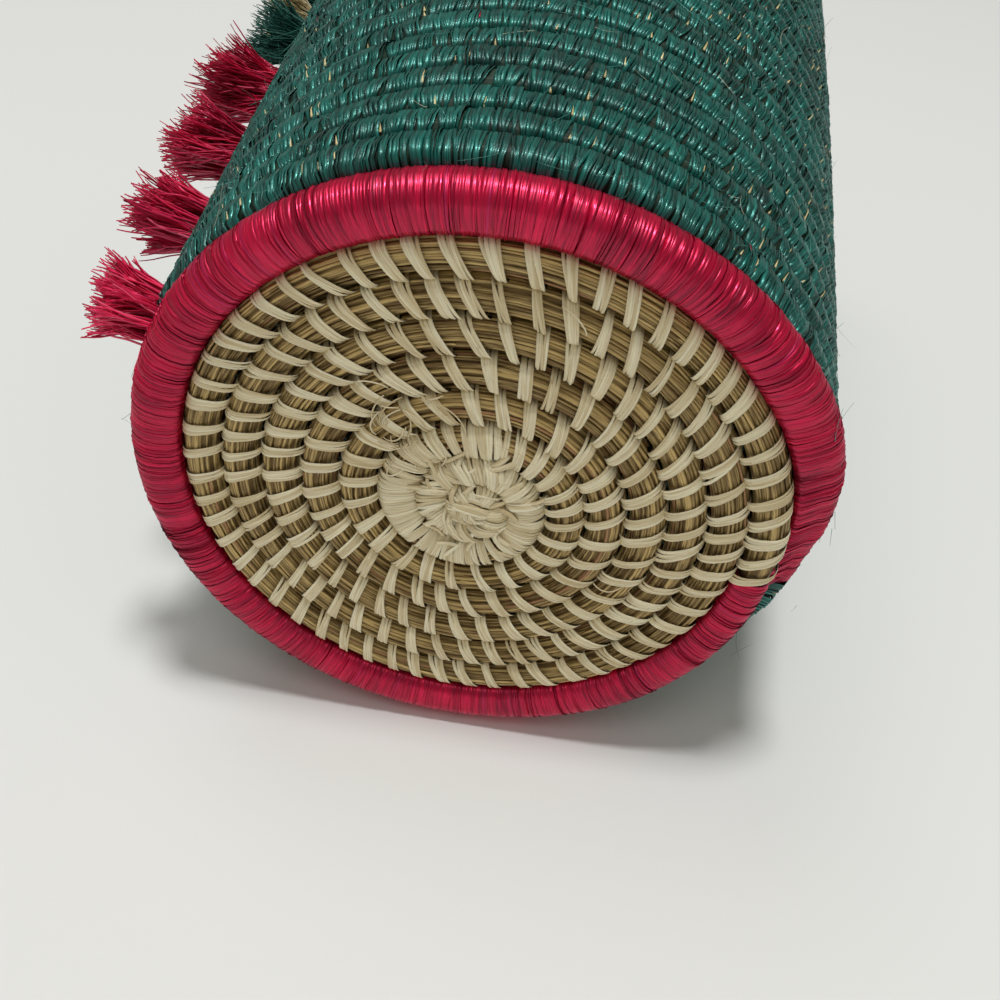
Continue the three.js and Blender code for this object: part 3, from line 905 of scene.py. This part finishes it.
core_material = fibre_material(
    "shaded core", dark=(6, 26, 22), light=(44, 66, 50), streaks=7, contrast=0.8, ridge=0.1,
    refraction=1.37, highlight=(255, 255, 255),
)
row_side, row_rise = row_profile(-TAU * np.arange(ROW_CORE_SIDES) / ROW_CORE_SIDES)
row_section = np.stack([row_rise, row_side], axis=-1)
row_core_turns = np.linspace(ROW_CORE_START, rim_row, rim_row * ROW_CORE_STEPS)
wall_core = bundle_core("wall_core", core_material, wall_spine, row_core_turns, row_section, ROW_CORE_DEPTH)
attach(wall_core, "root")


# Middle of the sewing strand that runs between each row and the next one up
def sewing_spine(turn):
    middle, outward = wall_spine(turn)[:2]
    return middle + UP * wall_pitch / 2, outward, SEWING_SIZE / 2, SEWING_SIZE / 2


sewing_turns = np.linspace(ROW_CORE_START, rim_row - SEWING_END, rim_row * ROW_CORE_STEPS)
wall_sewing = bundle_core(
    "wall_sewing", core_material, sewing_spine, sewing_turns, round_section(sides=6), depth=0,
)
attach(wall_sewing, "root")


# Short strands that lie on the rows in the partings between bundles of wraps, and taper upward
def row_flecks(name, material, random, count, angles, lengths, widths):
    share = np.linspace(-1, 1, len(FLECK_TAPER))
    turn = random.choice(wall_partings, (count, 1))
    angle = np.radians(random.uniform(*angles, (count, 1)))
    angle = angle + random.uniform(*lengths, (count, 1)) / ROW_WIDTH * share
    turns = turn + random.normal(0, FLECK_TILT, (count, 1)) * share
    path, facing = on_coil(wall_spine, turns, angle, FLECK_LIFT, row_profile)
    width = random.uniform(*widths, (count, 1)) * FLECK_TAPER
    tone = random.random(count)
    return strand_piece(name, material, path, facing, width, FLECK_THICKNESS, FLAT_SECTION, False, tone)


straw_material = fibre_material(
    "pale grass", dark=(176, 158, 104), light=(238, 222, 172), variety=0.5, streaks=1, contrast=0.8,
    edge_dimming=0.2, gloss=0.2, ridge=0.05, refraction=1.5, highlight=(255, 244, 214),
)
glints = row_flecks(
    "wall_glints", straw_material, random, count=800, angles=(-56, -18), lengths=(1, 2.8), widths=(0.2, 0.5),
)
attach(glints, "root")
specks = row_flecks(
    "wall_specks", raspberry_material, random, count=26, angles=(-40, 30), lengths=(1, 2.4),
    widths=(0.2, 0.45),
)
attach(specks, "root")

# Rim: the last row of the wall, wound and filled like the others and sewn to the row below it.
# Its end thins away over that row, which climbs there to become the rim's own start.
RIM_TIP_WIDTH = 3
RIM_TIP_HEIGHT = 0.9

rim_top = first_row_height + wall_pitch * rim_row + ROW_HEIGHT / 2
rim_tip_climb = (ROW_HEIGHT - RIM_TIP_HEIGHT) / wall_pitch
rim_end = rim_row + 1 - (1 - rim_tip_climb) * CLIMB


def rim_spine(turn):
    outward = outward_at(SEAM_ANGLE + TAU * turn)
    height = ROW_HEIGHT - wall_pitch * climb(turn)
    width = mixed(ROW_WIDTH, RIM_TIP_WIDTH, climb(turn) / rim_tip_climb)
    middle = outward * wall_radius(turn)[..., None] + UP * (rim_top - height / 2)[..., None]
    return middle, outward, width / 2, height / 2


rim_wraps = wound_strands("rim_wraps", rim_spine, wrap_partings(rim_row, rim_end, random), random)
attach(rim_wraps, "root")
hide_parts("rim_coil")

rim_core_turns = np.linspace(rim_row, rim_end, ROW_CORE_STEPS)
rim_core = bundle_core("rim_core", core_material, rim_spine, rim_core_turns, row_section, ROW_CORE_DEPTH)
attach(rim_core, "root")

# Tufts: bundles of cut sisal sewn to the wall in one column and left to stand out like brushes.
# Four red ones stand nearest the foot, then two dark green ones with a short natural one between them.
TUFT_TURN = 8.5 / 16
TUFT_ROWS_APART = 4
TUFT_STEPS = 9
TUFT_SINK = 1.5
TUFT_CLUMP = 11
TUFT_CLUMP_SIZE = 0.09
TUFT_LEAN = -9
TUFT_CLUMP_LEAN = 0.15
TUFT_STRAND_LEAN = 0.04
TUFT_BEND = 0.1
TUFT_WAVE = 0.35
TUFT_WAVE_PACES = (4, 9)
TUFT_LENGTH_SPREAD = (0.88, 1.04)
TUFT_WIDTH_SPREAD = (0.75, 1.2)
TUFT_TIP_THINNING = 0.45
RED_LENGTHS = np.array([6.5, 11.5])
RED_LENGTH_STEP = np.array([0.9, 1.3])
# Painted shade: each red tuft further from the foot gets its colours a step darker, for less light reaching
# it
RED_DARK = np.array([150, 0, 34])
RED_DARK_SHADE_STEP = np.array([14, 0, 4])
RED_LIGHT = np.array([250, 44, 100])
RED_LIGHT_SHADE_STEP = np.array([14, 8, 12])


def tuft(name, material, row, random, strands, root_size, fan, lengths, width):
    turn = row + TUFT_TURN
    outward = outward_at(np.array(SEAM_ANGLE + TAU * turn))
    sideways = np.cross(UP, outward)
    root = outward * (wall_radius(turn) + ROW_WIDTH / 2 - TUFT_SINK)
    root = root + UP * (first_row_height + wall_pitch * row)
    clump = np.arange(strands) // TUFT_CLUMP
    spread = np.sqrt(random.random(strands))[clump]
    swing = random.uniform(0, TAU, strands)[clump]
    aside = spread * np.cos(swing) + random.normal(0, TUFT_CLUMP_SIZE, strands)
    above = spread * np.sin(swing) + random.normal(0, TUFT_CLUMP_SIZE, strands)
    roots = root + sideways * (aside * root_size[0] / 2)[:, None] + UP * (above * root_size[1] / 2)[:, None]
    lean_aside = np.radians(TUFT_LEAN + fan[0] * spread * np.cos(swing))
    lean_aside = lean_aside + random.normal(0, TUFT_CLUMP_LEAN, strands)[clump]
    lean_above = np.radians(fan[1] * spread * np.sin(swing))
    lean_above = lean_above + random.normal(0, TUFT_CLUMP_LEAN, strands)[clump]
    lean_aside = lean_aside + random.normal(0, TUFT_STRAND_LEAN, strands)
    lean_above = lean_above + random.normal(0, TUFT_STRAND_LEAN, strands)
    ahead = unit(outward + sideways * np.tan(lean_aside)[:, None] + UP * np.tan(lean_above)[:, None])
    bend = sideways * random.normal(0, TUFT_BEND, strands)[:, None]
    bend = bend + UP * random.normal(0, TUFT_BEND, strands)[:, None]
    length = random.uniform(*lengths, strands)[clump] * random.uniform(*TUFT_LENGTH_SPREAD, strands)
    length = (length + TUFT_SINK)[:, None]
    share = np.linspace(0, 1, TUFT_STEPS)
    path = roots[:, None] + ahead[:, None] * (length * share)[..., None]
    path = path + bend[:, None] * (length * share ** 2)[..., None]
    wave_phase = random.uniform(*TUFT_WAVE_PACES, (strands, 2, 1)) * share
    wave_phase = wave_phase + random.uniform(0, TAU, (strands, 2, 1))
    wave = TUFT_WAVE * np.sin(wave_phase) * share
    path = path + sideways * wave[:, 0][..., None] + UP * wave[:, 1][..., None]
    width = width * random.uniform(*TUFT_WIDTH_SPREAD, (strands, 1)) * (1 - TUFT_TIP_THINNING * share ** 3)
    section = round_section(sides=3)
    return strand_piece(name, material, path, UP, width, width, section, False, random.random(strands))


random = np.random.default_rng(seed=67)
red_tufts = nodes_named("red_tuft_")
for number in range(red_tufts):
    # A copy of the red for each tuft, darkened step by step as painted shade
    red_material = fibre_material(
        f"red sisal with painted shade {number + 1}", dark=RED_DARK - RED_DARK_SHADE_STEP * number,
        light=RED_LIGHT - RED_LIGHT_SHADE_STEP * number, odd=(240, 100, 132), odd_share=0.05, variety=0.8,
        streaks=0.8, contrast=0.9, edge_dimming=0.1, gloss=0.2, ridge=0.02, refraction=1.7,
        highlight=(255, 140, 172),
    )
    red_tuft = tuft(
        f"red_tuft_strands_{number + 1}", red_material, number * TUFT_ROWS_APART, random, strands=560,
        root_size=(10, 8.5), fan=(5, 7), lengths=RED_LENGTHS + RED_LENGTH_STEP * number, width=0.42,
    )
    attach(red_tuft, "root")
    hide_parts(f"red_tuft_{number + 1}")

first_green_row = red_tufts * TUFT_ROWS_APART
green_material = fibre_material(
    "dark green sisal", dark=(12, 48, 42), light=(48, 104, 92), odd=(90, 140, 126), odd_share=0.06,
    variety=0.8, streaks=0.8, contrast=0.9, edge_dimming=0.2, gloss=0.14, ridge=0.02, refraction=1.5,
    highlight=(160, 226, 210),
)
for number in range(nodes_named("green_tuft_")):
    green_tuft = tuft(
        f"green_tuft_strands_{number + 1}", green_material, first_green_row + number * TUFT_ROWS_APART,
        random, strands=420, root_size=(8, 7), fan=(16, 20), lengths=(7, 11.5), width=0.3,
    )
    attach(green_tuft, "root")
    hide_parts(f"green_tuft_{number + 1}")

natural_material = fibre_material(
    "natural sisal", dark=(178, 158, 112), light=(226, 212, 172), odd=(238, 228, 200), odd_share=0.06,
    variety=0.8, streaks=0.8, contrast=0.9, edge_dimming=0.2, gloss=0.14, ridge=0.02, refraction=1.5,
    highlight=(255, 248, 226),
)
natural_tuft = tuft(
    "natural_tuft_strands", natural_material, first_green_row + TUFT_ROWS_APART / 2, random, strands=160,
    root_size=(3.5, 4), fan=(18, 20), lengths=(8, 11), width=0.28,
)
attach(natural_tuft, "root")
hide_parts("natural_tuft")

# Loose fibres: fine hairs of sisal that have slipped out of the windings, most of them close against the wall
# and a few standing off it, and thin raffia ends that curl over the base beside the knot.
HAIR_STEPS = 10
HAIR_BEND = 0.9
HAIR_WIDTHS = (0.06, 0.13)
HAIR_TAPER = 0.5
LOWEST_HAIR = 2
HAIR_MARGIN = 0.5
CURLS = 24
CURL_STEPS = 22
CURL_PLACE = np.array([-12.0, -13.0, 0.0])
CURL_SCATTER = 3.2
STRAY_CURLS = 3
STRAY_REACH = 38
CURL_ARCS = (0.5, 2)
CURL_SIZES = (2.5, 6)
CURL_OPENING = 0.4
CURL_WIDTH = 0.28
CURL_THICKNESS = 0.16
CURL_DEPTH = 0.1
CURL_RISE = 0.8


def wall_hairs(name, random, count, lengths, lifts, rises):
    share = np.linspace(0, 1, HAIR_STEPS)
    length = random.uniform(*lengths, (count, 1))
    heading = random.uniform(0, TAU, (count, 1)) + random.normal(0, HAIR_BEND, (count, 1)) * share
    along = np.cumsum(np.cos(heading), axis=1) * length / HAIR_STEPS
    above = np.cumsum(np.sin(heading), axis=1) * length / HAIR_STEPS
    height = random.uniform(LOWEST_HAIR, rim_top, (count, 1)) + above
    height = np.clip(height, HAIR_MARGIN, rim_top - HAIR_MARGIN)
    radius = wall_radius((height - first_row_height) / wall_pitch) + ROW_WIDTH / 2
    lift = random.uniform(*lifts, (count, 1)) + random.uniform(*rises, (count, 1)) * length * share ** 1.5
    outward = outward_at(random.uniform(0, TAU, (count, 1)) + along / radius)
    path = outward * (radius + lift)[..., None] + UP * height[..., None]
    width = random.uniform(*HAIR_WIDTHS, (count, 1)) * (1 - HAIR_TAPER * share)
    tone = random.random(count)
    return strand_piece(name, hair_material, path, outward, width, width, round_section(sides=3), False, tone)


random = np.random.default_rng(seed=79)
hair_material = fibre_material(
    "loose sisal hairs", dark=(20, 74, 68), light=(84, 160, 148), odd=(196, 188, 164), odd_share=0.08,
    variety=0.8, streaks=0.5, contrast=0.8, gloss=0.3, ridge=0.01, refraction=1.68,
    highlight=(200, 240, 232),
)
lying_hairs = wall_hairs(
    "lying_hairs", random, count=1200, lengths=(2, 8), lifts=(0.02, 0.25), rises=(0, 0.03),
)
standing_hairs = wall_hairs(
    "standing_hairs", random, count=420, lengths=(2, 7), lifts=(0, 0.1), rises=(0.15, 0.8),
)
for piece in (lying_hairs, standing_hairs):
    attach(piece, "root")

curl_share = np.linspace(0, 1, CURL_STEPS)
curl_middle = CURL_PLACE + random.normal(0, CURL_SCATTER, (CURLS, 1, 3)) * (1, 1, 0)
curl_middle[:STRAY_CURLS] = random.uniform(-STRAY_REACH, STRAY_REACH, (STRAY_CURLS, 1, 3)) * (1, 1, 0)
curl_turn = random.uniform(0, TAU, (CURLS, 1)) + random.uniform(*CURL_ARCS, (CURLS, 1)) * curl_share
curl_size = random.uniform(*CURL_SIZES, (CURLS, 1))
curl_size = curl_size * (1 + random.normal(0, CURL_OPENING, (CURLS, 1)) * curl_share)
curl_height = COIL_PLANE - BASE_HEIGHT / 2 + CURL_DEPTH - CURL_RISE * np.sin(np.pi * curl_share)
curl_path = curl_middle + outward_at(curl_turn) * curl_size[..., None] + UP * curl_height[:, None]
curls = strand_piece(
    "raffia_curls", raffia_material, curl_path, -UP, CURL_WIDTH, CURL_THICKNESS, round_section(sides=4),
    False, random.random(CURLS),
)
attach(curls, "root")
